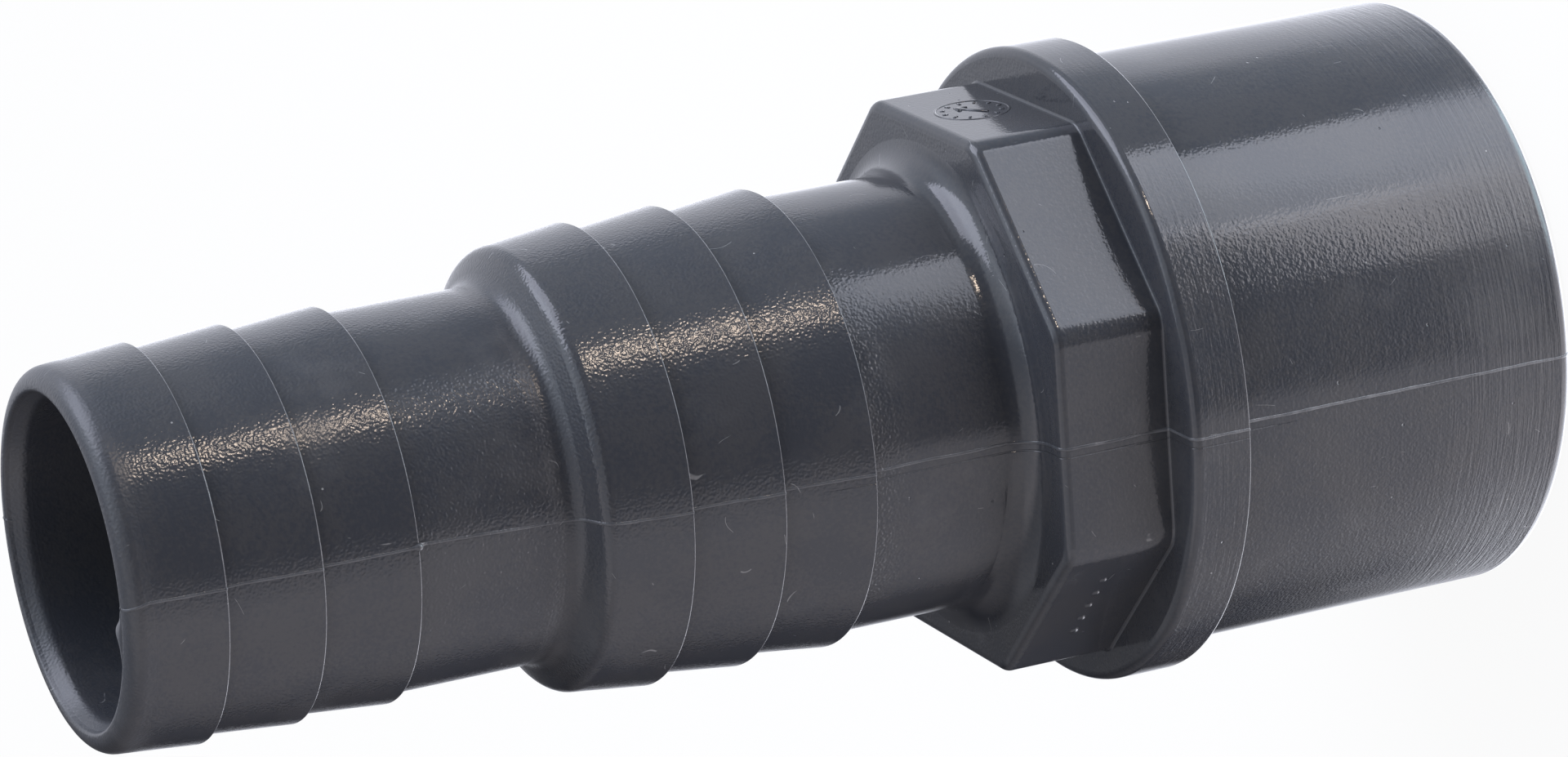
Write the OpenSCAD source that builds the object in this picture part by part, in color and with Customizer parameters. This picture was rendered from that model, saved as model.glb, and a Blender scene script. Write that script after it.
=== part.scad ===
// Solvent weld coupling: a plain spigot for gluing into a fitting, with a socket
// for a smaller pipe inside it, a stop flange, an octagonal wrench collar, and a
// hose tail stepped for two hose sizes. All of it is one injection moulding.
// Millimetres. +Z is the axis, towards the hose tail. The origin is the centre of
// the spigot's end face, on which the part stands. Two flats of the collar face
// -Y and +Y, where the mould parts.

/* [Spigot] */
// Outside diameter of the spigot, glued into a 50 mm socket
spigot_d = 50; // [47:0.5:53]
// Length of the spigot, from its end face to the flange
spigot_l = 31.2; // [29:0.1:50]
// Round on the outer edge of the spigot's end
spigot_edge_r = 1.0; // [0.3:0.1:2]

/* [Solvent socket] */
// Inside diameter of the socket, glued over a 40 mm pipe
socket_d = 40; // [38:0.1:42]
// Depth of the socket, from the end face to the pipe stop
socket_l = 26; // [20:0.5:32]
// Lead-in chamfer at the socket's mouth
socket_lead = 0.8; // [0.3:0.1:1.5]

/* [Stop flange] */
// Diameter of the flange
flange_d = 54; // [54:0.5:70]
// Thickness of the flange
flange_t = 5.2; // [3:0.1:10]
// Round on the flange's edge, on the collar's side
flange_edge_r = 0.8; // [0.3:0.1:1.2]

/* [Wrench collar] */
// Width of the collar across its flats
collar_af = 45.4; // [45:0.2:48]
// Length of the collar, from the flange to its face
collar_l = 9.75; // [6:0.05:20]
// Round on the eight edges between the flats
collar_corner_r = 2.6; // [0.6:0.1:3]
// Round on the rim of the collar's face
collar_rim_r = 0.8; // [0.4:0.1:1]

/* [Hose tail, large step] */
// Diameter of the neck and of the foot of each barb
large_d = 36.4; // [34:0.1:37]
// Diameter of the barbs' crests
large_crest_d = 38.3; // [37.5:0.1:41]
// Wall at the neck
large_wall = 2.7; // [2:0.1:4]
// Length of the plain neck, from the collar's face to the first crest
neck_l = 14.7; // [8:0.1:30]
// Fillet between the neck and the collar's face
neck_fillet_r = 2.6; // [1:0.1:3]

/* [Hose tail, small step] */
// Diameter of the plain stretch and of the foot of each barb
small_d = 31.0; // [28:0.1:32]
// Diameter of the barbs' crests
small_crest_d = 32.4; // [32.2:0.1:34]
// Wall at the plain stretch
small_wall = 2.5; // [2.5:0.1:4]
// Length of the plain stretch, from the shoulder's nose to the first crest
small_plain_l = 15.1; // [10:0.1:30]

/* [Barbs] */
// Number of barbs on each step
barb_count = 3; // [1:1:6]
// Distance from crest to crest
barb_pitch = 8; // [7:0.1:12]
// Length of the large step's top barb, from its crest to the shoulder's nose
top_barb_l = 7; // [5:0.1:7]

/* [Shoulder between the steps] */
// Concave round at the shoulder's foot
shoulder_foot_r = 1.7; // [0.5:0.1:3]
// Convex round at the shoulder's nose
shoulder_nose_r = 1.4; // [0.5:0.1:2]
// Slope of the shoulder, from the axis
shoulder_angle = 62; // [45:1:75]

/* [Mouth and bore] */
// Round on the outside of the hose tail's lip
lip_r = 1.7; // [0.5:0.1:1.7]
// Chamfer on the inside of the hose tail's mouth
mouth_chamfer = 0.75; // [0.2:0.05:0.75]
// Length of the bore's taper between the two steps
bore_taper_l = 4; // [2:0.5:8]

/* [Hidden] */
$fn = 128;
pvc_grey = [0.29, 0.30, 0.33];
flats = 8;
flat_angle = 360 / flats;
// Overlap that lets a cutter pass through a face
past = 1;

// Radii
spigot_r = spigot_d / 2;
socket_r = socket_d / 2;
flange_r = flange_d / 2;
collar_r = collar_af / 2;
large_r = large_d / 2;
large_crest_r = large_crest_d / 2;
large_bore_r = large_r - large_wall;
small_r = small_d / 2;
small_crest_r = small_crest_d / 2;
small_bore_r = small_r - small_wall;

// Heights, from the spigot's end face up
flange_z = spigot_l;
collar_z = flange_z + flange_t;
neck_z = collar_z + collar_l;
large_z = neck_z + neck_l;
nose_z = large_z + (barb_count - 1) * barb_pitch + top_barb_l;
small_z = nose_z + small_plain_l;
total_l = small_z + barb_count * barb_pitch;

// The shoulder is a straight slope between two tangent rounds. Its nose is the
// corner of the slope and the top barb's cone, its foot the corner of the slope
// and the plain stretch. Each round starts a tangent length away from its corner.
large_cone_angle = atan((large_crest_r - large_r) / barb_pitch);
small_cone_angle = atan((small_crest_r - small_r) / barb_pitch);
nose = [large_crest_r - top_barb_l * tan(large_cone_angle), nose_z];
foot = [small_r, nose_z + (nose[0] - small_r) / tan(shoulder_angle)];
uphill = [-sin(shoulder_angle), cos(shoulder_angle)];
slope_normal = [cos(shoulder_angle), sin(shoulder_angle)];
nose_tangent = shoulder_nose_r * tan((shoulder_angle - large_cone_angle) / 2);
foot_tangent = shoulder_foot_r * tan(shoulder_angle / 2);
nose_low = nose + nose_tangent * [sin(large_cone_angle), -cos(large_cone_angle)];
nose_high = nose + nose_tangent * uphill;
foot_low = foot - foot_tangent * uphill;
foot_high = foot + [0, foot_tangent];

// Rectangle from the axis out to radius r, between two heights
module disc(r, z0, z1) {
    translate([0, z0]) square([r, z1 - z0]);
}

// What a convex round of radius e takes off a corner that points to +X and +Y,
// under a level top and beside a side that leans inwards by the angle lean
module corner_waste(e, lean = 0) {
    centre = [-e * (1 - sin(lean)) / cos(lean), -e];
    beside = 2 * e * [cos(lean), sin(lean)];
    above = 2 * e * [0, 1];
    difference() {
        polygon([centre, centre + beside, centre + beside + above, centre + above]);
        translate(centre) circle(e);
    }
}

// What a concave fillet of radius e adds in a corner that is open to +X and +Y
module corner_fill(e) {
    difference() {
        translate([-past, -past]) square(e + past);
        translate([e, e]) circle(e);
    }
}

// Row of barbs from height z up: each falls from its crest to the foot of the next
module barb_rows(foot_r, crest_r, z) {
    for (i = [0:barb_count - 1])
        polygon([
            [0, z + i * barb_pitch],
            [crest_r, z + i * barb_pitch],
            [foot_r, z + (i + 1) * barb_pitch],
            [0, z + (i + 1) * barb_pitch]
        ]);
}

// Shoulder that leads a hose from the small step up to the top barb of the large one
module shoulder() {
    difference() {
        polygon([
            [0, nose_low[1]],
            nose_low,
            nose_high,
            foot_low,
            foot_high,
            [0, foot_high[1]]
        ]);
        translate(foot_high + [shoulder_foot_r, 0]) circle(shoulder_foot_r);
    }
    translate(nose_high - shoulder_nose_r * slope_normal) circle(shoulder_nose_r);
}

// Half section of the outside, without the collar
module outer_section() {
    difference() {
        disc(spigot_r, 0, collar_z);
        translate([spigot_r, 0]) mirror([0, 1]) corner_waste(spigot_edge_r);
    }
    difference() {
        disc(flange_r, flange_z, collar_z);
        translate([flange_r, collar_z]) corner_waste(flange_edge_r);
    }
    disc(large_r, collar_z - past, large_z + past);
    translate([large_r, neck_z]) corner_fill(neck_fillet_r);
    intersection() {
        barb_rows(large_r, large_crest_r, large_z);
        disc(large_crest_r + past, large_z, nose_low[1]);
    }
    shoulder();
    disc(small_r, nose_low[1] - past, small_z + past);
    difference() {
        barb_rows(small_r, small_crest_r, small_z);
        translate([small_r, total_l]) corner_waste(lip_r, small_cone_angle);
    }
}

// Octagon with its corners rounded, flats towards -Y and +Y
module octagon() {
    corner_at = (collar_r - collar_corner_r) / cos(flat_angle / 2);
    union() {
        polygon([
            for (i = [0:flats - 1], side = [-1, 1])
                corner_at * [cos((i + 0.5) * flat_angle), sin((i + 0.5) * flat_angle)]
                    + collar_corner_r * [cos((i + 0.5 + side / 2) * flat_angle),
                                         sin((i + 0.5 + side / 2) * flat_angle)]
        ]);
        for (i = [0:flats - 1])
            rotate((i + 0.5) * flat_angle) translate([corner_at, 0]) circle(collar_corner_r);
    }
}

// End view of the collar between two opposite flats, with its rim rounded
module flat_pair() {
    difference() {
        translate([-collar_r, 0]) square([collar_af, neck_z - flange_z]);
        for (side = [0, 1])
            mirror([side, 0]) translate([collar_r, neck_z - flange_z]) corner_waste(collar_rim_r);
    }
}

// Octagonal collar for a wrench or strap, standing in the flange
module collar() {
    translate([0, 0, flange_z])
        intersection() {
            linear_extrude(neck_z - flange_z) octagon();
            intersection_for (i = [0:flats / 2 - 1])
                rotate([0, 0, i * flat_angle])
                    rotate([90, 0, 0])
                        linear_extrude(2 * flange_d, center = true) flat_pair();
        }
}

// Half section of the inside: socket, pipe stop, large bore, taper, small bore
module inner_section() {
    polygon([
        [0, -past],
        [socket_r + socket_lead + past, -past],
        [socket_r, socket_lead],
        [socket_r, socket_l],
        [0, socket_l]
    ]);
    polygon([
        [0, socket_l - past],
        [large_bore_r, socket_l - past],
        [large_bore_r, nose_z - bore_taper_l],
        [small_bore_r, nose_z],
        [small_bore_r, total_l - mouth_chamfer],
        [small_bore_r + mouth_chamfer + past, total_l + past],
        [0, total_l + past]
    ]);
}

module coupling() {
    color(pvc_grey)
        difference() {
            union() {
                rotate_extrude() outer_section();
                collar();
            }
            rotate_extrude() inner_section();
        }
}

coupling();
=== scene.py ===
"""A moulded grey PVC pipe coupling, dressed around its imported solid.

The moulding is one skin, swept round the axis from a section whose corners carry
their real rounds. What stands on that skin is made apart: the ridges where the
mould parts, a scrap of flash in the mouth, a date dial and a row of pips.
Sizes are in millimetres until a mesh is made, and metres in Blender.
"""
import math
import random

import bpy
import numpy as np
from mathutils import Matrix, Vector


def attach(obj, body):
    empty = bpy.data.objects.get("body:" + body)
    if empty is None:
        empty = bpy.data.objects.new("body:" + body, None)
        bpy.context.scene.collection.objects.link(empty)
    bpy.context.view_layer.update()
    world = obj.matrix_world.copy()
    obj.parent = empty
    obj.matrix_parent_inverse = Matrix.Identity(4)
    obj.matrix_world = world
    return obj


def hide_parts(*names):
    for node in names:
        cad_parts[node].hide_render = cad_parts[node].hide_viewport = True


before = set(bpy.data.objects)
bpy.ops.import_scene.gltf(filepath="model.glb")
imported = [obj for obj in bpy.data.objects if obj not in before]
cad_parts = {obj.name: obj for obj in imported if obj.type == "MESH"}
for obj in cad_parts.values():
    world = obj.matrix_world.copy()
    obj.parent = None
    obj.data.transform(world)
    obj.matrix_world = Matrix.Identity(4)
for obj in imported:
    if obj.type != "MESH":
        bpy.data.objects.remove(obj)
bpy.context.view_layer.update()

MM = 0.001

# Sizes of the moulding, as in the solid
SPIGOT_R = 25.0
SPIGOT_L = 31.2
SPIGOT_EDGE_R = 1.0
SOCKET_R = 20.0
SOCKET_L = 26.0
SOCKET_LEAD = 0.8
FLANGE_R = 27.0
FLANGE_T = 5.2
FLANGE_EDGE_R = 0.8
COLLAR_R = 22.7
COLLAR_L = 9.75
COLLAR_CORNER_R = 2.6
COLLAR_RIM_R = 0.8
LARGE_R = 18.2
LARGE_CREST_R = 19.15
LARGE_BORE_R = 15.5
NECK_L = 14.7
NECK_FILLET_R = 2.6
SMALL_R = 15.5
SMALL_CREST_R = 16.2
SMALL_BORE_R = 13.0
SMALL_PLAIN_L = 15.1
BARBS = 3
PITCH = 8.0
TOP_BARB_L = 7.0
SHOULDER_FOOT_R = 1.7
SHOULDER_NOSE_R = 1.4
SHOULDER_ANGLE = math.radians(62)
MOUTH_CHAMFER = 0.75
BORE_TAPER_L = 4.0

# Heights above the floor
FLANGE_Z = SPIGOT_L
COLLAR_Z = FLANGE_Z + FLANGE_T
NECK_Z = COLLAR_Z + COLLAR_L
LARGE_Z = NECK_Z + NECK_L
NOSE_Z = LARGE_Z + (BARBS - 1) * PITCH + TOP_BARB_L
SMALL_Z = NOSE_Z + SMALL_PLAIN_L
TOTAL_L = SMALL_Z + BARBS * PITCH

# Rounds of edges that are sharp in the solid
CREST_EDGE = 0.07
FOOT_EDGE = 0.2
CRISP_EDGE = 0.1
CREASE_EDGE = 0.04
BORE_EDGE = 1.0

# The lip's crown rolls down to a crease in the mouth, where a soft lead-in starts
LIP_R = 1.55
CROWN_EDGE = 0.28
CREASE_R = 13.55
CREASE_DEPTH = 0.5
LEAD_IN_DEPTH = 1.45
LEAD_IN_R = 1.4

# How pale each kind of edge is painted: partly real wear, partly a painted highlight along the edge
EDGE_WEAR_AND_HIGHLIGHT = {"wear_and_highlight": 1.0, "rubbed_and_highlit": 0.4, "crease": 0.35}

FLATS = 8
FLAT_ANGLE = 2 * math.pi / FLATS
LEAST_CORNER_R = 0.15

# Spacing of the skin's stations along its section, and how close to each corner
STATION_STEP = 2.2
INSIDE_STEP = 6.6
NEAR_CORNER = (0.03, 0.3)

# Columns of the sweep: how many evenly, the room that each keeps as a share of their
# spacing, and the degrees of the others from each corner of the collar
EVEN_COLUMNS = 176
COLUMN_ROOM = 0.4
CORNER_COLUMNS = (0, 0.4, 0.8, 1.2, 1.6, 2.0, 2.36, 2.7)

# The mould parts in the plane X = 0, and some degrees off it along the small tail
PARTING_LINES = (-math.pi / 2, math.pi / 2)
PARTING_DRIFT = ((80, 0), (99, 2.6), (107, 2.05), (121.3, 1.9), (122.8, 0.1))
RIDGE_HEIGHT = 0.06
RIDGE_HALF_WIDTH = 0.13
RIDGE_ROOM = 0.1
RIDGE_STEP = 0.3

# The ridge's section: place across it, share of its height, and depth below the skin
RIDGE_SECTION = ((-1, 0, 0.03), (-0.5, 0.7, 0), (0, 1, 0), (0.5, 0.7, 0), (1, 0, 0.03), (0, 0, 0.08))

# Beads and sway of the ridge, as an amount and a reach in steps along it
RIDGE_BEADS = ((0.45, 4), (0.3, 24))
RIDGE_SWAY = (0.05, 12)
RIDGE_SEED = 7

# How pale the ridge is painted below the collar, and above it: partly wear, partly a painted highlight along
# its crest
RIDGE_WEAR_AND_HIGHLIGHT = (1.0, 0.55)

# A nib of flash where the front ridge crosses the first crest of the small tail
NIB_HEIGHT = 0.3
NIB_HALF_LENGTH = 0.35
NIB_SPREAD = 2

# Edge of the scrap of flash in the mouth: angle in degrees and radius
MOUTH_FLASH = ((-89.5, 13.72), (-92, 13.25), (-95, 13.05), (-98, 12.35), (-100.5, 11.92),
               (-103, 11.88), (-105, 12.45), (-107.5, 12.98), (-110, 13.2), (-111.5, 13.72))
FLASH_T = 0.09
FLASH_DROP = 0.12
FLASH_DEPTH = 0.03
FLASH_ROOT_R = SMALL_BORE_R + MOUTH_CHAMFER + 0.05
FLASH_STEPS = 49
FLASH_SOFTENING = 5

# The flash's section: share of the way to its edge, share of its thickness, and how pale it is painted,
# partly wear and partly a painted highlight on its thin edge
FLASH_SECTION = ((0, 1, 0.1), (0.5, 1, 0.15), (0.93, 1, 0.5), (1, 0.5, 0.9),
                 (0.93, 0, 0.5), (0.5, 0, 0.15), (0, 0, 0.1))

# Section of a raised stroke: place across it and share of its rise, with sunk edges
STROKE_SECTION = ((-0.32, 0.75), (-0.14, 1), (0.14, 1), (0.32, 0.75))
STROKE_SUNK = 0.05

# The date dial on one flat of the collar, up it as a share of its height and along it
DIAL_BEARING = 0
DIAL_UP = 0.47
DIAL_ALONG = 0.6
DIAL_R = 3.1
DIAL_RISE = 0.07
DIAL_RING_RISE = 0.7 * DIAL_RISE
DIAL_RING_W = 0.3
DIAL_RING_STEPS = 64
DIAL_TICKS = 12
DIAL_TICK_W = 0.34
DIAL_TICK_SHARES = (0.72, 0.79, 0.86)
POINTER_TURN = math.radians(35)
POINTER_HALF_L = 1.5
POINTER_W = 0.5
POINTER_RISE = 1.4 * DIAL_RISE
POINTER_TIP = 1.6
POINTER_HEAD_L = 0.8
POINTER_HEAD_HALF_W = 0.6
POINTER_HEAD_STROKE = 0.46

# The row of pips on another flat, and a pip's dome as shares of its radius and its rise
PIPS_BEARING = math.radians(-135)
PIPS_UP = 0.52
PIPS_ALONG = 0.5
PIP_COUNT = 5
PIP_SPACING = 2.1
PIP_R = 0.42
PIP_RISE = 0.12
PIP_SIDES = 20
PIP_SUNK = 0.05
PIP_DOME = ((0.92, 0.35), (0.7, 0.75), (0.35, 0.96))


def section_corners():
    """Corners of the section, once round it from the spigot's end.

    Each is (radius, height, round, steps in the round, octagon share, tag).
    The flange stands short of the solid's rim, to leave room for the ridge on it."""
    cone = (LARGE_CREST_R - LARGE_R) / PITCH
    nose_r = LARGE_CREST_R - TOP_BARB_L * cone
    foot_z = NOSE_Z + (nose_r - SMALL_R) / math.tan(SHOULDER_ANGLE)
    rim_r = FLANGE_R - RIDGE_ROOM
    corners = [
        (SPIGOT_R, 0, SPIGOT_EDGE_R, 7, 0, ""),
        (SPIGOT_R, FLANGE_Z, FOOT_EDGE, 3, 0, ""),
        (rim_r, FLANGE_Z, CRISP_EDGE, 4, 0, "rubbed_and_highlit"),
        (rim_r, COLLAR_Z, FLANGE_EDGE_R, 7, 0, ""),
        (COLLAR_R, COLLAR_Z, FOOT_EDGE, 3, 1, ""),
        (COLLAR_R, NECK_Z, COLLAR_RIM_R, 7, 1, ""),
        (LARGE_R, NECK_Z, NECK_FILLET_R, 10, 0, ""),
    ]
    for i in range(BARBS):
        z = LARGE_Z + i * PITCH
        corners.append((LARGE_R, z, FOOT_EDGE, 2, 0, ""))
        corners.append((LARGE_CREST_R, z, CREST_EDGE, 5, 0, "wear_and_highlight"))
    corners.append((nose_r, NOSE_Z, SHOULDER_NOSE_R, 7, 0, ""))
    corners.append((SMALL_R, foot_z, SHOULDER_FOOT_R, 7, 0, ""))
    for i in range(BARBS):
        z = SMALL_Z + i * PITCH
        corners.append((SMALL_R, z, FOOT_EDGE, 2, 0, ""))
        corners.append((SMALL_CREST_R, z, CREST_EDGE, 5, 0, "wear_and_highlight"))
    corners += [
        (SMALL_R, TOTAL_L, LIP_R, 10, 0, ""),
        (SMALL_BORE_R + MOUTH_CHAMFER, TOTAL_L, CROWN_EDGE, 5, 0, ""),
        (CREASE_R, TOTAL_L - CREASE_DEPTH, CREASE_EDGE, 2, 0, "crease"),
        (SMALL_BORE_R, TOTAL_L - LEAD_IN_DEPTH, LEAD_IN_R, 6, 0, ""),
        (SMALL_BORE_R, NOSE_Z, BORE_EDGE, 3, 0, "inside"),
        (LARGE_BORE_R, NOSE_Z - BORE_TAPER_L, BORE_EDGE, 3, 0, "inside"),
        (LARGE_BORE_R, SOCKET_L, CRISP_EDGE, 3, 0, "inside"),
        (SOCKET_R, SOCKET_L, FOOT_EDGE, 3, 0, "inside"),
        (SOCKET_R, SOCKET_LEAD, CRISP_EDGE, 2, 0, "inside"),
        (SOCKET_R + SOCKET_LEAD, 0, CRISP_EDGE, 2, 0, "inside"),
    ]
    return corners


def corner_arc(here, back, ahead, rounding, steps):
    """Places along the round of one corner, between its two tangent points."""
    back = back / np.linalg.norm(back)
    ahead = ahead / np.linalg.norm(ahead)
    half = math.acos(np.clip(back @ ahead, -1, 1)) / 2
    reach = rounding / math.tan(half)
    centre = here + (back + ahead) / np.linalg.norm(back + ahead) * rounding / math.sin(half)
    first = here + back * reach - centre
    last = here + ahead * reach - centre
    turn = math.atan2(first[0] * last[1] - first[1] * last[0], first @ last)
    places = []
    for k in range(steps + 1):
        angle = turn * k / steps
        places.append(centre + np.array([
            first[0] * math.cos(angle) - first[1] * math.sin(angle),
            first[0] * math.sin(angle) + first[1] * math.cos(angle)]))
    return places


def straight_places(gap, inside):
    """Distances of the stations along a straight stretch, close together at its ends."""
    if inside:
        count = math.ceil(gap / INSIDE_STEP)
        return [gap * k / count for k in range(1, count)]
    near = [d for d in NEAR_CORNER if d < gap / 3]
    start = near[-1] if near else 0
    count = math.ceil((gap - 2 * start) / STATION_STEP)
    middle = [start + (gap - 2 * start) * k / count for k in range(1, count)]
    return near + middle + [gap - d for d in reversed(near)]


def rounded_section(corners):
    """Stations along the closed section: place, octagon share and tag."""
    count = len(corners)
    arcs = []
    for i in range(count):
        r, z, rounding, steps, share, tag = corners[i]
        here = np.array([r, z])
        back = np.array(corners[i - 1][:2]) - here
        ahead = np.array(corners[(i + 1) % count][:2]) - here
        arcs.append([(p, share, tag) for p in corner_arc(here, back, ahead, rounding, steps)])
    stations = []
    for i in range(count):
        stations += arcs[i]
        here, share, tag = arcs[i][-1]
        there, next_share, next_tag = arcs[(i + 1) % count][0]
        inside = "inside" in (tag, next_tag)
        gap = np.linalg.norm(there - here)
        for distance in straight_places(gap, inside):
            part = distance / gap
            mixed_share = share + (next_share - share) * part
            stations.append((here + (there - here) * part, mixed_share, ""))
    return stations


def octagon_radius(angle, flat_r):
    """Radius of the collar's outline at an angle, for a flat at flat_r from the axis."""
    corner_r = np.maximum(COLLAR_CORNER_R - (COLLAR_R - flat_r), LEAST_CORNER_R)
    off_flat = np.abs((angle + FLAT_ANGLE / 2) % FLAT_ANGLE - FLAT_ANGLE / 2)
    half = FLAT_ANGLE / 2
    centre = (flat_r - corner_r) / math.cos(half)
    tangent = np.arctan((flat_r - corner_r) * math.tan(half) / flat_r)
    off_corner = half - off_flat
    reach = np.sqrt(np.maximum(corner_r ** 2 - (centre * np.sin(off_corner)) ** 2, 0))
    round_r = centre * np.cos(off_corner) + reach
    return np.where(off_flat <= tangent, flat_r / np.cos(off_flat), round_r)


def column_angles():
    """Angles of the sweep's columns, close together at the collar's corners."""
    angles = []
    for i in range(FLATS):
        corner = (i + 0.5) * FLAT_ANGLE
        for side in (-1, 1):
            angles += [corner + side * math.radians(d) for d in CORNER_COLUMNS if side > 0 or d > 0]
    taken = list(angles)
    spacing = 2 * math.pi / EVEN_COLUMNS
    for i in range(EVEN_COLUMNS):
        angle = spacing * i
        if all(abs(math.remainder(angle - other, 2 * math.pi)) > COLUMN_ROOM * spacing for other in taken):
            angles.append(angle)
    return np.array(sorted(a % (2 * math.pi) for a in angles))


def vertex_normals(points, faces):
    """Normals weighted by face area, so that wide faces stay flat beside fine rounds."""
    a = points[faces[:, 2]] - points[faces[:, 0]]
    b = points[faces[:, 3]] - points[faces[:, 1]]
    cross = np.cross(a, b)
    normals = np.zeros_like(points)
    for k in range(4):
        np.add.at(normals, faces[:, k], cross)
    return normals / np.linalg.norm(normals, axis=1)[:, None]


def grid_faces(rows, cols):
    """Faces of a grid of points that closes on itself both ways."""
    index = np.arange(rows * cols).reshape(rows, cols)
    below = np.roll(index, -1, 0)
    faces = np.stack([index, np.roll(index, -1, 1), np.roll(below, -1, 1), below], 2)
    return faces.reshape(-1, 4)


def tube_faces(count, sides, closed=False):
    """Faces of a tube of rings, capped at both ends unless it closes on itself."""
    faces = []
    for i in range(count if closed else count - 1):
        here = i * sides
        there = (i + 1) % count * sides
        for k in range(sides):
            n = (k + 1) % sides
            faces.append((here + k, here + n, there + n, there + k))
    if not closed:
        faces.append(tuple(reversed(range(sides))))
        faces.append(tuple(range((count - 1) * sides, count * sides)))
    return faces


def make_skin(stations):
    """The moulding's closed skin: points, faces and how pale each point is painted, for wear and a painted
    highlight on its edges.
    """
    angle = column_angles()
    r = np.array([s[0][0] for s in stations])[:, None]
    z = np.array([s[0][1] for s in stations])[:, None]
    share = np.array([s[1] for s in stations])[:, None]
    wear_and_highlight = np.array([EDGE_WEAR_AND_HIGHLIGHT.get(s[2], 0.0) for s in stations])[:, None]
    radius = r * (1 - share) + share * octagon_radius(angle[None, :], r)
    points = np.stack([radius * np.cos(angle), radius * np.sin(angle), z + 0 * radius], 2)
    rows, cols = radius.shape
    return points.reshape(-1, 3), grid_faces(rows, cols), (wear_and_highlight + 0 * radius).reshape(-1)


def mesh_object(name, points, faces, wear_and_highlight=None, smooth=True):
    """A mesh object from points in millimetres, with how pale each of them is painted, for wear and a
    painted edge highlight.
    """
    mesh = bpy.data.meshes.new(name)
    mesh.from_pydata((np.asarray(points) * MM).tolist(), [], [tuple(f) for f in faces])
    mesh.update()
    if wear_and_highlight is not None:
        layer = mesh.attributes.new("wear_and_highlight", "FLOAT", "POINT")
        layer.data.foreach_set("value", np.asarray(wear_and_highlight, np.float32))
    if smooth:
        mesh.polygons.foreach_set("use_smooth", [True] * len(mesh.polygons))
    obj = bpy.data.objects.new(name, mesh)
    bpy.context.scene.collection.objects.link(obj)
    return obj


def outside_path(stations):
    """The outside of the section as fine steps: places and outward directions."""
    places = [s[0] for s in stations]
    last = max(i for i, s in enumerate(stations) if s[2] == "crease")
    fine = [places[0]]
    for here, there in zip(places[:last], places[1:last + 1]):
        count = math.ceil(np.linalg.norm(there - here) / RIDGE_STEP)
        fine += [here + (there - here) * k / count for k in range(1, count + 1)]
    fine = np.array(fine)
    along = np.gradient(fine, axis=0)
    along /= np.linalg.norm(along, axis=1)[:, None]
    return fine, np.stack([along[:, 1], -along[:, 0]], 1)


def smooth_random(count, reach, dice):
    """A random line between -1 and 1, with bumps about reach steps long."""
    raw = np.array([dice.uniform(-1, 1) for _ in range(count)])
    soft = np.convolve(raw, np.hanning(reach + 2), mode="same")
    return soft / np.abs(soft).max()


def make_ridge(name, line, nib, path, outward, dice):
    """The fine, slightly beaded ridge left where the mould's halves meet."""
    count = len(path)
    beads = sum(amount * smooth_random(count, reach, dice) for amount, reach in RIDGE_BEADS)
    height = RIDGE_HEIGHT * (1 + beads)
    height += NIB_HEIGHT * nib * np.exp(-((path[:, 1] - SMALL_Z) / NIB_HALF_LENGTH) ** 2)
    width = RIDGE_HALF_WIDTH * (1 + NIB_SPREAD * height / height.max() * nib)
    sway = RIDGE_SWAY[0] * smooth_random(count, RIDGE_SWAY[1], dice)
    drift_z, drift = zip(*PARTING_DRIFT)
    line = line + np.radians(np.interp(path[:, 1], drift_z, drift))
    rings = []
    for across, share, depth in RIDGE_SECTION:
        lift = height * share - depth
        radius = path[:, 0] + lift * outward[:, 0]
        level = np.clip(path[:, 1] + lift * outward[:, 1], 0, TOTAL_L)
        angle = line + (across * width + sway) / path[:, 0]
        rings.append(np.stack([radius * np.cos(angle), radius * np.sin(angle), level], 1))
    points = np.stack(rings, 1).reshape(-1, 3)
    # Painted paler below the collar: partly wear, partly a painted highlight along the ridge
    wear_and_highlight = np.interp(points[:, 2], (COLLAR_Z, NECK_Z), RIDGE_WEAR_AND_HIGHLIGHT)
    return mesh_object(name, points, tube_faces(count, len(rings)), wear_and_highlight)


def make_mouth_flash(name):
    """A scrap of thin flash that hangs into the mouth from the lip's crown."""
    degrees, reach = zip(*MOUTH_FLASH)
    angle = np.linspace(degrees[0], degrees[-1], FLASH_STEPS)
    edge = np.interp(-angle, [-d for d in degrees], reach)
    window = np.ones(FLASH_SOFTENING) / FLASH_SOFTENING
    edge = np.convolve(np.pad(edge, FLASH_SOFTENING // 2, mode="edge"), window, mode="valid")
    turn = np.radians(angle)
    rings = []
    for part, top, _ in FLASH_SECTION:
        radius = FLASH_ROOT_R + (edge - FLASH_ROOT_R) * part
        level = TOTAL_L - FLASH_DEPTH - FLASH_DROP * part ** 2 - FLASH_T * (1 - top)
        rings.append(np.stack([radius * np.cos(turn), radius * np.sin(turn), level + 0 * turn], 1))
    points = np.stack(rings, 1).reshape(-1, 3)
    wear_and_highlight = np.tile([flash_wear_and_highlight for _, _, flash_wear_and_highlight in FLASH_SECTION], FLASH_STEPS)
    return mesh_object(name, points, tube_faces(FLASH_STEPS, len(rings)), wear_and_highlight)


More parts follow.
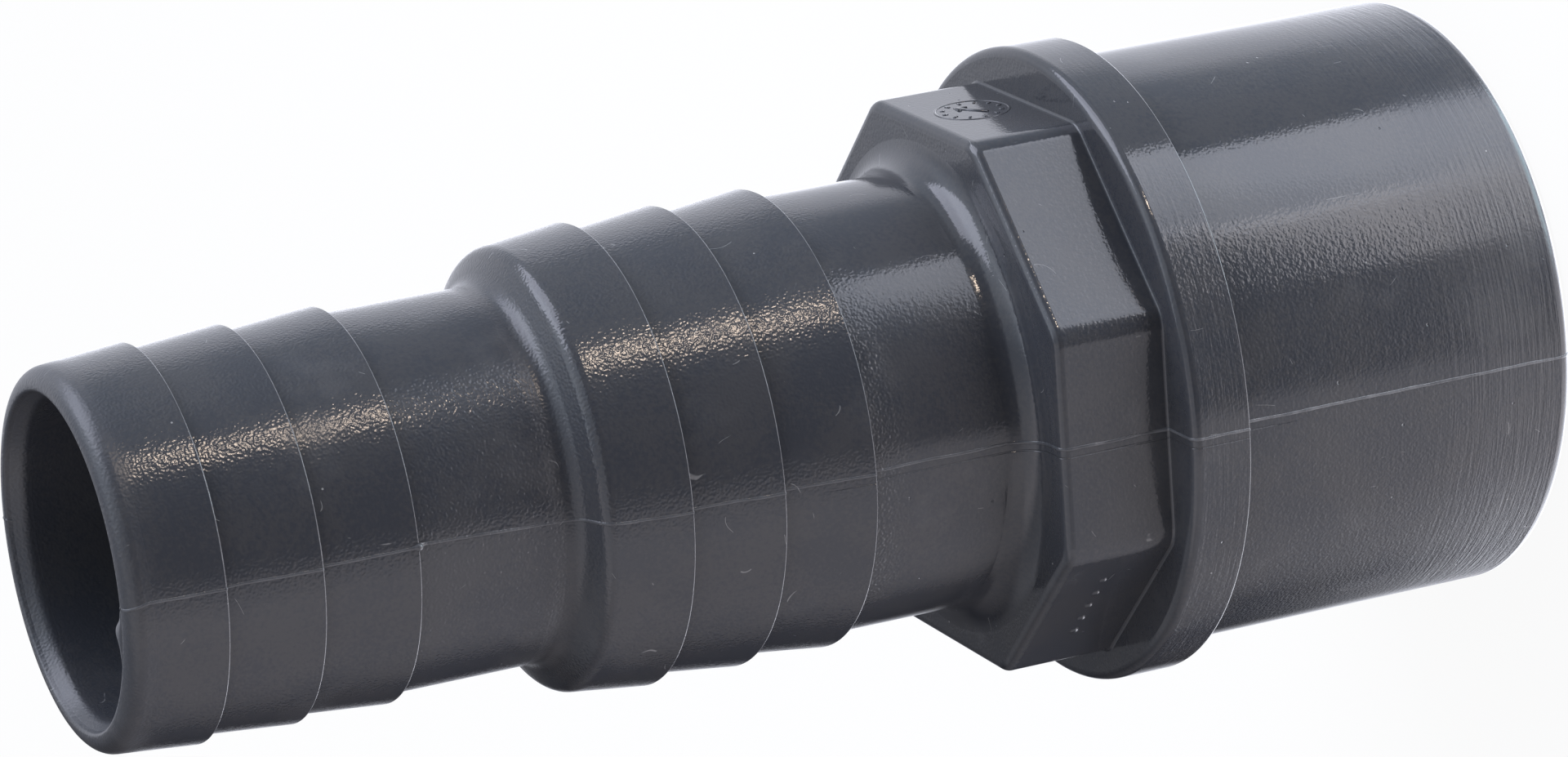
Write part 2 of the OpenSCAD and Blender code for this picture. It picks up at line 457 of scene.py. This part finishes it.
def raised_stroke(line, width, rise, closed=False):
    """Points and faces of a low rib with sloping sides, along a line on a flat."""
    line = np.array(line, float)
    ahead = np.roll(line, -1, 0) - line
    behind = line - np.roll(line, 1, 0)
    if not closed:
        ahead[-1] = behind[-1]
        behind[0] = ahead[0]
    ahead /= np.linalg.norm(ahead, axis=1)[:, None]
    behind /= np.linalg.norm(behind, axis=1)[:, None]
    along = ahead + behind
    along /= np.linalg.norm(along, axis=1)[:, None]
    across = np.stack([-along[:, 1], along[:, 0]], 1)
    outline = [(-0.5, -STROKE_SUNK)]
    outline += [(share, height * rise) for share, height in STROKE_SECTION]
    outline += [(0.5, -STROKE_SUNK)]
    count = len(line)
    rings = [np.hstack([line + across * share * width, np.full((count, 1), up)]) for share, up in outline]
    faces = tube_faces(count, len(outline), closed)
    return np.stack(rings, 1).reshape(-1, 3), [face[::-1] for face in faces]


def on_flat(name, parts, bearing, up_share, along):
    """One object from low shapes drawn on a flat of the collar, as (along, up, out) points."""
    out = np.array([math.cos(bearing), math.sin(bearing), 0])
    side = np.array([-out[1], out[0], 0])
    up = np.array([0, 0, 1])
    origin = out * COLLAR_R + up * (COLLAR_Z + up_share * COLLAR_L)
    points = []
    faces = []
    for part_points, part_faces in parts:
        start = len(points)
        points += [origin + side * (along + p[0]) + up * p[1] + out * p[2] for p in part_points]
        faces += [tuple(start + i for i in face) for face in part_faces]
    return mesh_object(name, points, faces)


def circle_places(radius, count):
    """Places round a circle."""
    turns = [2 * math.pi * k / count for k in range(count)]
    return [np.array([radius * math.cos(a), radius * math.sin(a)]) for a in turns]


def make_date_dial(name):
    """A plain mould date dial: a ring, twelve ticks inside it and a pointer."""
    parts = [raised_stroke(circle_places(DIAL_R, DIAL_RING_STEPS), DIAL_RING_W, DIAL_RING_RISE, closed=True)]
    for place in circle_places(DIAL_R, DIAL_TICKS):
        tick = [share * place for share in DIAL_TICK_SHARES]
        parts.append(raised_stroke(tick, DIAL_TICK_W, DIAL_RISE))
    way = np.array([math.cos(POINTER_TURN), math.sin(POINTER_TURN)])
    across = np.array([-way[1], way[0]])
    shaft = [-POINTER_HALF_L * way, 0 * way, POINTER_HALF_L * way]
    parts.append(raised_stroke(shaft, POINTER_W, POINTER_RISE))
    tip = POINTER_TIP * way
    back = tip - POINTER_HEAD_L * way
    wing = POINTER_HEAD_HALF_W * across
    parts.append(raised_stroke([back + wing, tip, back - wing], POINTER_HEAD_STROKE, POINTER_RISE))
    return on_flat(name, parts, DIAL_BEARING, DIAL_UP, DIAL_ALONG)


def pip(middle):
    """Points and faces of one domed pip on a flat."""
    levels = [(1.0, -PIP_SUNK)] + [(share, height * PIP_RISE) for share, height in PIP_DOME]
    points = []
    for share, rise in levels:
        points += [(middle + x, y, rise) for x, y in circle_places(share * PIP_R, PIP_SIDES)]
    tip = len(points)
    rim = tip - PIP_SIDES
    points.append((middle, 0, PIP_RISE))
    faces = tube_faces(len(levels), PIP_SIDES)[:-1]
    faces += [(rim + k, rim + (k + 1) % PIP_SIDES, tip) for k in range(PIP_SIDES)]
    return points, faces


def make_pips(name):
    """A short row of plain raised pips, as a tally of the mould's cavity."""
    middles = [(i - (PIP_COUNT - 1) / 2) * PIP_SPACING for i in range(PIP_COUNT)]
    return on_flat(name, [pip(middle) for middle in middles], PIPS_BEARING, PIPS_UP, PIPS_ALONG)


def add_node(tree, kind, inputs=None, **settings):
    """A new shader node with its settings, and its sockets set or linked by name."""
    new = tree.nodes.new("ShaderNode" + kind)
    for key, value in settings.items():
        setattr(new, key, value)
    for key, value in (inputs or {}).items():
        if isinstance(value, bpy.types.NodeSocket):
            tree.links.new(value, new.inputs[key])
        else:
            new.inputs[key].default_value = value
    return new


def calc(tree, operation, first, second=0.0, third=None):
    """The result of one Math node."""
    inputs = {0: first, 1: second}
    if third is not None:
        inputs[2] = third
    return add_node(tree, "Math", inputs, operation=operation).outputs[0]


def times(tree, first, second):
    """The product of two values."""
    return calc(tree, "MULTIPLY", first, second)


def larger(tree, first, second):
    """The larger of two values."""
    return calc(tree, "MAXIMUM", first, second)


def plus_times(tree, total, first, second):
    """A total, with the product of two values added to it."""
    return calc(tree, "MULTIPLY_ADD", first, second, total)


def between(tree, share, low, high):
    """The value that lies a share of the way from a low number to a high one."""
    return calc(tree, "MULTIPLY_ADD", share, high - low, low)


def fade(tree, value, limits, results=(0.0, 1.0)):
    """A smooth step of a value between two limits, from the first result to the second."""
    inputs = {"Value": value, "From Min": limits[0], "From Max": limits[1],
              "To Min": results[0], "To Max": results[1]}
    return add_node(tree, "MapRange", inputs, interpolation_type="SMOOTHSTEP").outputs["Result"]


def fade_mm(tree, length, limits):
    """A smooth step of a length between two limits in millimetres."""
    return fade(tree, length, [limit * MM for limit in limits])


def zone(tree, height, first, last, soft):
    """One between two heights in millimetres, and nothing beyond, with soft edges."""
    above = fade_mm(tree, height, (first - soft, first))
    below = fade_mm(tree, height, (last + soft, last))
    return times(tree, above, below)


def split(tree, place):
    """The X, Y and Z of a place."""
    return add_node(tree, "SeparateXYZ", {"Vector": place}).outputs


def noise(tree, place, scale, detail, roughness=0.5):
    """Cloudy noise about a half, with so many bumps a metre."""
    inputs = {"Vector": place, "Scale": scale, "Detail": detail, "Roughness": roughness}
    return add_node(tree, "TexNoise", inputs).outputs["Fac"]


def stretched(tree, place, scale):
    """The place scaled along each axis, for grain that runs round the part."""
    return add_node(tree, "VectorMath", {0: place, 1: scale}, operation="MULTIPLY").outputs["Vector"]


def dots(tree, place, per_metre, radius, kept):
    """Sparse round dots: cells a metre, radius in a cell and share of the cells kept."""
    cells = add_node(tree, "TexVoronoi", {"Vector": place, "Scale": per_metre})
    dot = fade(tree, cells.outputs["Distance"], (radius, radius * 0.5))
    chance = add_node(tree, "SeparateColor", {"Color": cells.outputs["Color"]}).outputs[0]
    return times(tree, dot, calc(tree, "LESS_THAN", chance, kept))


def blend(tree, share, first, second):
    """A mix of two colours."""
    node = add_node(tree, "Mix", data_type="RGBA")
    tree.links.new(share, node.inputs["Factor"])
    for key, value in (("A", first), ("B", second)):
        if isinstance(value, bpy.types.NodeSocket):
            tree.links.new(value, node.inputs[key])
        else:
            node.inputs[key].default_value = (*value, 1)
    return node.outputs["Result"]


def principled(name, **values):
    """A new material and its nodes, with plain numbers set on the shader itself."""
    material = bpy.data.materials.new(name)
    material.use_nodes = True
    shader = material.node_tree.nodes["Principled BSDF"]
    for key, value in values.items():
        shader.inputs[key.replace("_", " ")].default_value = value
    return material, material.node_tree, shader


# Colours of the PVC and of what lies on it
PVC_IOR = 1.53
PVC = (0.04, 0.043, 0.051)
PVC_WARM = (0.05, 0.051, 0.056)
# Pale edge colour: partly real wear, partly a painted highlight on crests, rims, ridges and flash
PVC_WEAR_AND_HIGHLIGHT = (0.13, 0.133, 0.143)
DUST = (0.3, 0.3, 0.3)

# Heights where the surface changes: between two, or from first to last with a soft edge
NECK_CHANGE = (46.5, 48.5)
TAIL_CHANGE = (56.0, 60.5)
SPIGOT_END_CHANGE = (16, 3)
RIM_ZONE = (FLANGE_Z, COLLAR_Z, 0.4)
SHOULDER_ZONE = (NOSE_Z + 0.9, NOSE_Z + 3.2, 0.8)
LIP_ZONE = (TOTAL_L - 1.2, TOTAL_L + 1, 2.2)

# Roughness of the glossy fitting, of the neck and of the barbed tail, and what is
# added at the spigot's end, on the tail's shoulder, on the lip and on each mark
FITTING_ROUGH = 0.1
NECK_ROUGH = 0.13
TAIL_ROUGH = 0.15
SPIGOT_END_ROUGH = 0.1
SHOULDER_ROUGH = 0.12
LIP_ROUGH = 0.2
SMUDGE_ROUGH = 0.06
WEAR_AND_HIGHLIGHT_ROUGH = 0.12
SPECK_ROUGH = 0.3

# Heights of the surface's grain, in metres
GRAIN = 0.000026
FINE_GRAIN = 0.000006
PEEL = 0.000011
FINE_PEEL = 0.00000165
STREAK = 0.000003
BRUSHED_STREAK = 0.000027
PIT = -0.00005
GROOVE = -0.00004

# Noises: bumps a metre, detail and roughness
GRAIN_NOISE = (4300, 0)
PEEL_NOISE = (2900, 2)
STREAK_NOISE = (3600, 3, 0.6)
WEAR_AND_HIGHLIGHT_NOISE = (260, 3, 0.6)
SMUDGE_NOISE = (110, 3, 0.6)
MOTTLE_NOISES = ((160, 3), (2600, 2))
SCRATCH_LINES = (260, 0)
SCRATCH_PLACES = (420, 1)

# Limits of those noises, and what the pale edges, partly wear and partly a painted highlight, become between
# them
WEAR_AND_HIGHLIGHT_LIMITS = (0.35, 0.65)
WEAR_AND_HIGHLIGHT_RANGE = (0.5, 1.0)
SMUDGE_LIMITS = (0.56, 0.72)
MOTTLE_LIMITS = (0.8, 1.2)
SCRATCH_LEVEL = 0.47
SCRATCH_LIMITS = (0.006, 0.001)
SCRATCH_PLACE_LIMITS = (0.665, 0.69)

# Dots: cells a metre, radius in a cell and share of the cells kept
PITS = (620, 0.09, 0.2)
SPECKS = (480, 0.055, 0.1)
SPOTS = (75, 0.07, 0.2)

# How much of the dust's colour each mark takes
SPECK_SHARE = 0.8
SCRATCH_SHARE = 0.5
SMUDGE_SHARE = 0.04
SPOT_SHARE = 0.06

# The peel's strength, and the X between which it comes and goes along the front
PEEL_RANGE = (0.5, 1.2)
PEEL_COMES = (19, 14)
PEEL_GOES = (6, 11)

# Streaks run round the part, and the flange's rim is brushed a little
STREAK_STRETCH = (0.05, 0.05, 1)
RIM_BRUSHED = 0.4

# The groove beside the front parting line: its X, its soft half width and its two ends
GROOVE_X = -0.7
GROOVE_EDGE = (0.09, 0.03)
GROOVE_START = (25, 29)
GROOVE_END = (66, 62)


def surface_relief(tree, place, tail, brushed):
    """Height of the grain in metres: fine on the tail, orange-peel and streaks elsewhere."""
    fitting = calc(tree, "SUBTRACT", 1.0, tail)
    across = split(tree, place)["X"]
    wavy = times(tree, fade_mm(tree, across, PEEL_COMES), fade_mm(tree, across, PEEL_GOES))
    grain = noise(tree, place, *GRAIN_NOISE)
    peel = times(tree, noise(tree, place, *PEEL_NOISE), between(tree, wavy, *PEEL_RANGE))
    streaks = noise(tree, stretched(tree, place, STREAK_STRETCH), *STREAK_NOISE)
    pits = times(tree, dots(tree, place, *PITS), fitting)
    total = times(tree, grain, between(tree, tail, FINE_GRAIN, GRAIN))
    total = plus_times(tree, total, peel, between(tree, fitting, FINE_PEEL, PEEL))
    total = plus_times(tree, total, streaks, between(tree, brushed, STREAK, BRUSHED_STREAK))
    total = plus_times(tree, total, pits, PIT)
    return plus_times(tree, total, witness_line(tree, place), GROOVE)


def witness_line(tree, place):
    """A fine groove beside the front parting line, from the spigot to the neck."""
    axes = split(tree, place)
    beside = calc(tree, "ABSOLUTE", calc(tree, "SUBTRACT", axes["X"], GROOVE_X * MM))
    line = fade_mm(tree, beside, GROOVE_EDGE)
    front = calc(tree, "LESS_THAN", axes["Y"], 0.0)
    ends = times(tree, fade_mm(tree, axes["Z"], GROOVE_START), fade_mm(tree, axes["Z"], GROOVE_END))
    return times(tree, times(tree, line, front), ends)


def hair_scratches(tree, place):
    """A few hair-fine pale scratches, a millimetre or two long."""
    field = noise(tree, place, *SCRATCH_LINES)
    off_line = calc(tree, "ABSOLUTE", calc(tree, "SUBTRACT", field, SCRATCH_LEVEL))
    where = fade(tree, noise(tree, place, *SCRATCH_PLACES), SCRATCH_PLACE_LIMITS)
    return times(tree, fade(tree, off_line, SCRATCH_LIMITS), where)


def pvc_material():
    """Glossy grey PVC-U: orange-peel, grain, pale edges that are partly wear and partly a painted highlight,
    dust, smudges and scratches.
    """
    material, tree, shader = principled("pvc_grey", IOR=PVC_IOR)
    place = add_node(tree, "TexCoord").outputs["Object"]
    height = split(tree, place)["Z"]
    neck = fade_mm(tree, height, NECK_CHANGE)
    tail = fade_mm(tree, height, TAIL_CHANGE)
    spigot_end = fade_mm(tree, height, SPIGOT_END_CHANGE)
    rim = zone(tree, height, *RIM_ZONE)
    shoulder = zone(tree, height, *SHOULDER_ZONE)
    lip = zone(tree, height, *LIP_ZONE)
    patchy = fade(tree, noise(tree, place, *WEAR_AND_HIGHLIGHT_NOISE), WEAR_AND_HIGHLIGHT_LIMITS, WEAR_AND_HIGHLIGHT_RANGE)
    wear_and_highlight = times(tree, add_node(tree, "Attribute", attribute_name="wear_and_highlight").outputs["Fac"], patchy)
    specks = dots(tree, place, *SPECKS)
    spots = dots(tree, place, *SPOTS)
    smudge = fade(tree, noise(tree, place, *SMUDGE_NOISE), SMUDGE_LIMITS)
    scratch = hair_scratches(tree, place)

    brushed = larger(tree, times(tree, rim, RIM_BRUSHED), spigot_end)
    relief = surface_relief(tree, place, tail, brushed)
    bump = add_node(tree, "Bump", {"Height": relief, "Distance": 1.0, "Strength": 1.0})
    tree.links.new(bump.outputs["Normal"], shader.inputs["Normal"])

    wide, fine = (noise(tree, place, *values) for values in MOTTLE_NOISES)
    mottle = fade(tree, calc(tree, "ADD", wide, fine), MOTTLE_LIMITS)
    colour = blend(tree, mottle, PVC, PVC_WARM)
    # Edges painted pale: partly real wear, partly a painted highlight for the light lines they catch
    colour = blend(tree, wear_and_highlight, colour, PVC_WEAR_AND_HIGHLIGHT)
    pale = larger(tree, times(tree, specks, SPECK_SHARE), times(tree, scratch, SCRATCH_SHARE))
    haze = larger(tree, times(tree, smudge, SMUDGE_SHARE), times(tree, spots, SPOT_SHARE))
    colour = blend(tree, larger(tree, pale, haze), colour, DUST)
    tree.links.new(colour, shader.inputs["Base Color"])

    rough = between(tree, neck, FITTING_ROUGH, NECK_ROUGH)
    shares = ((tail, TAIL_ROUGH - NECK_ROUGH), (spigot_end, SPIGOT_END_ROUGH), (shoulder, SHOULDER_ROUGH),
              (lip, LIP_ROUGH), (smudge, SMUDGE_ROUGH), (wear_and_highlight, WEAR_AND_HIGHLIGHT_ROUGH), (specks, SPECK_ROUGH))
    for share, more in shares:
        rough = plus_times(tree, rough, share, more)
    tree.links.new(rough, shader.inputs["Roughness"])
    return material


def dress(obj, material):
    """Give a piece its material and its place in the part."""
    obj.data.materials.append(material)
    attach(obj, "root")
    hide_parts("coupling")


def build():
    """The skin and every piece that stands on it."""
    material = pvc_material()
    stations = rounded_section(section_corners())
    points, faces, wear_and_highlight = make_skin(stations)
    body = mesh_object("coupling_body", points, faces, wear_and_highlight)
    body.data.normals_split_custom_set_from_vertices(vertex_normals(points, faces).tolist())
    dress(body, material)
    path, outward = outside_path(stations)
    dice = random.Random(RIDGE_SEED)
    for name, line, nib in zip(("parting_ridge_front", "parting_ridge_back"), PARTING_LINES, (1, 0)):
        dress(make_ridge(name, line, nib, path, outward, dice), material)
    dress(make_mouth_flash("mouth_flash"), material)
    dress(make_date_dial("date_dial"), material)
    dress(make_pips("tally_pips"), material)


FLOOR_COLOUR = (0.9, 0.9, 0.9, 1)
FLOOR_ROUGH = 0.9
FLOOR_WHITE = 0.92
FLOOR_HALF = 3000


def make_floor():
    """A white floor that lets the studio's light pass, so that only the camera sees it."""
    material, tree, shader = principled("floor_white", Base_Color=FLOOR_COLOUR, Roughness=FLOOR_ROUGH)
    white = add_node(tree, "Emission", {"Color": (1, 1, 1, 1)})
    path = add_node(tree, "LightPath")
    share = times(tree, path.outputs["Is Camera Ray"], FLOOR_WHITE)
    mix = add_node(tree, "MixShader", {0: share, 1: shader.outputs[0], 2: white.outputs[0]})
    tree.links.new(mix.outputs[0], tree.nodes["Material Output"].inputs["Surface"])
    far = FLOOR_HALF
    corners = [(-far, -far, 0), (far, -far, 0), (far, far, 0), (-far, far, 0)]
    floor = mesh_object("floor", corners, [(0, 1, 2, 3)], smooth=False)
    floor.data.materials.append(material)
    floor.visible_glossy = False
    floor.visible_diffuse = False
    floor.visible_shadow = False


# Camera, solved from the photograph: place in mm, direction and roll in degrees
CAMERA_AT = (158.76, -484.37, 272.29)
CAMERA_BEARING = math.radians(107.73)
CAMERA_PITCH = math.radians(-22.66)
CAMERA_ROLL = math.radians(-101.25)
CAMERA_LENS = 154.16
CAMERA_SENSOR = 36.0
CAMERA_SHIFT = (0.0009, -0.0045)
CAMERA_CLIP = (0.01, 20)


def direction(bearing, rise):
    """The unit vector at a bearing round the axis and a rise above the floor."""
    level = math.cos(rise)
    return Vector((level * math.cos(bearing), level * math.sin(bearing), math.sin(rise)))


def camera_axes():
    """The camera's right, up and back."""
    forward = direction(CAMERA_BEARING, CAMERA_PITCH)
    level_right = forward.cross(Vector((0, 0, 1))).normalized()
    level_up = level_right.cross(forward)
    up = level_up * math.cos(CAMERA_ROLL) - level_right * math.sin(CAMERA_ROLL)
    return forward.cross(up).normalized(), up, -forward


def put(name, data, place, axes):
    """A camera or lamp at a place in millimetres, turned to its three axes."""
    obj = bpy.data.objects.new(name, data)
    bpy.context.scene.collection.objects.link(obj)
    turn = Matrix(axes).transposed().to_4x4()
    obj.matrix_world = Matrix.Translation(Vector(place) * MM) @ turn
    return obj


def make_camera():
    """The camera at the photograph's viewing angle."""
    data = bpy.data.cameras.new("camera")
    data.sensor_fit = "HORIZONTAL"
    data.sensor_width = CAMERA_SENSOR
    data.lens = CAMERA_LENS
    data.shift_x, data.shift_y = CAMERA_SHIFT
    data.clip_start, data.clip_end = CAMERA_CLIP
    bpy.context.scene.camera = put("camera", data, CAMERA_AT, camera_axes())


def soft_lamp(name, place, axes, size, radiance, colour):
    """A rectangular soft lamp of a given radiance, at a place in mm with its three axes."""
    data = bpy.data.lights.new(name, "AREA")
    data.shape = "RECTANGLE"
    data.size = size[0] * MM
    data.size_y = size[1] * MM
    data.energy = radiance * math.pi * data.size * data.size_y
    data.color = colour
    put(name, data, place, axes).visible_camera = False


def upright_card(name, bearing, distance, across, height, turn, size, radiance, colour):
    """An upright soft lamp that faces the axis, rolled by a turn in its own plane."""
    bearing, turn = math.radians(bearing), math.radians(turn)
    out = direction(bearing, 0)
    side = Vector((-math.sin(bearing), math.cos(bearing), 0))
    first = side * math.cos(turn) + Vector((0, 0, 1)) * math.sin(turn)
    place = out * distance + side * across + Vector((0, 0, height))
    soft_lamp(name, place, (first, out.cross(first), out), size, radiance, colour)


def aimed_card(name, bearing, rise, distance, size, radiance, colour):
    """A soft lamp that faces the part's middle from a bearing and a rise."""
    way = direction(math.radians(bearing), math.radians(rise))
    axes = way.to_track_quat("Z", "Y").to_matrix().transposed()
    soft_lamp(name, Vector((0, 0, TOTAL_L / 2)) + way * distance, axes, size, radiance, colour)


# Soft lamps that face the axis: bearing in degrees, distance, place across and height,
# turn in degrees, size, radiance and colour
UPRIGHT_CARDS = (
    ("softbox_top", -19.2, 300, -21, -86, -61.2, (50, 165), 2.3, (0.97, 1.0, 1.13)),
    ("softbox", -19.2, 300, 52, -218, -61.2, (250, 165), 3.1, (0.97, 1.0, 1.13)),
    ("warm_lamp", -25.2, 1000, 0, -90, 0, (70, 105), 29, (1.24, 1.0, 0.8)),
    ("softbox_side", -19.2, 310, -150, -226, 25, (200, 160), 3.1, (1.04, 1.0, 1.04)),
)

# Soft lamps that face the part's middle: bearing and rise in degrees, distance, size,
# radiance and colour
AIMED_CARDS = (
    ("low_card", -20, -62, 400, (300, 200), 4.5, (0.75, 1.0, 1.12)),
    ("fill", 22.8, 30, 500, (390, 400), 2.9, (0.97, 1.0, 1.2)),
)

# Tints of the white table, of the wall behind and of the ceiling, in the part's frame
TABLE = (1.03, 0.99, 1.05)
WALL = (0.98, 1.0, 1.1)
CEILING = (0.91, 1.0, 1.14)

# The pale tent round the part, lowest ring first: bearings in degrees, levels and tints
TENT = (
    ((-150, 3.0, TABLE), (-60, 1.6, TABLE), (20, 0.5, WALL), (100, 4.0, WALL)),
    ((-180, 0.4, TABLE), (-165, 0.6, TABLE), (-130, 0.75, TABLE), (-104, 0.75, TABLE),
     (-97, 0.0, TABLE), (-60, 0.0, CEILING), (-45, 0.05, CEILING), (-20, 0.6, CEILING),
     (0, 0.25, CEILING), (42, 0.45, CEILING), (55, 1.1, WALL), (85, 1.1, WALL),
     (100, 2.0, WALL), (115, 0.9, WALL), (130, 0.0, WALL), (160, 0.0, TABLE)),
    ((-180, 0.3, TABLE), (-165, 0.6, TABLE), (-118, 1.0, TABLE), (-96, 0.05, TABLE),
     (-60, 0.0, CEILING), (-25, 0.2, CEILING), (10, 0.8, CEILING), (45, 0.75, CEILING),
     (75, 1.0, WALL), (104, 0.9, WALL), (110, 0.15, WALL), (130, 0.0, TABLE)),
    ((-150, 1.2, TABLE), (-60, 0.5, CEILING), (20, 2.0, CEILING), (100, 0.4, WALL)),
)
# Sines of the elevations between which each ring gives way to the next
TENT_EDGES = ((-0.585, -0.43), (-0.27, -0.07), (0.4, 0.6))


def tent_ring(tree, turn, stops):
    """A ring of tent light as a colour ramp over one turn, the same at both ends."""
    start = stops[0] if stops[0][0] == -180 else (-180, stops[-1][1], stops[-1][2])
    places = [start, *(s for s in stops if s[0] > -180), (180, *start[1:])]
    ramp = add_node(tree, "ValToRGB", {"Fac": turn})
    while len(ramp.color_ramp.elements) < len(places):
        ramp.color_ramp.elements.new(0.5)
    for stop, (degrees, level, tint) in zip(ramp.color_ramp.elements, places):
        stop.position = (degrees + 180) / 360
        stop.color = [level * part for part in tint] + [1]
    return ramp.outputs["Color"]


def light_world():
    """A pale tent with a dim side towards the camera, and plain white for the camera."""
    world = bpy.data.worlds.new("studio")
    world.use_nodes = True
    bpy.context.scene.world = world
    tree = world.node_tree
    axes = split(tree, add_node(tree, "TexCoord").outputs["Generated"])
    bearing = calc(tree, "ARCTAN2", axes["Y"], axes["X"])
    turn = calc(tree, "MULTIPLY_ADD", bearing, 1 / (2 * math.pi), 0.5)
    colour = tent_ring(tree, turn, TENT[0])
    for stops, limits in zip(TENT[1:], TENT_EDGES):
        colour = blend(tree, fade(tree, axes["Z"], limits), colour, tent_ring(tree, turn, stops))
    light = tree.nodes["Background"]
    tree.links.new(colour, light.inputs["Color"])
    white = add_node(tree, "Background", {"Color": (1, 1, 1, 1)})
    path = add_node(tree, "LightPath")
    shares = {0: path.outputs["Is Camera Ray"], 1: light.outputs[0], 2: white.outputs[0]}
    mix = add_node(tree, "MixShader", shares)
    tree.links.new(mix.outputs[0], tree.nodes["World Output"].inputs["Surface"])


def light_scene():
    """The tent of light, and the soft lamps in front of it."""
    light_world()
    for card in UPRIGHT_CARDS:
        upright_card(*card)
    for card in AIMED_CARDS:
        aimed_card(*card)


build()
make_floor()
make_camera()
light_scene()
bpy.context.scene.view_settings.view_transform = "Standard"
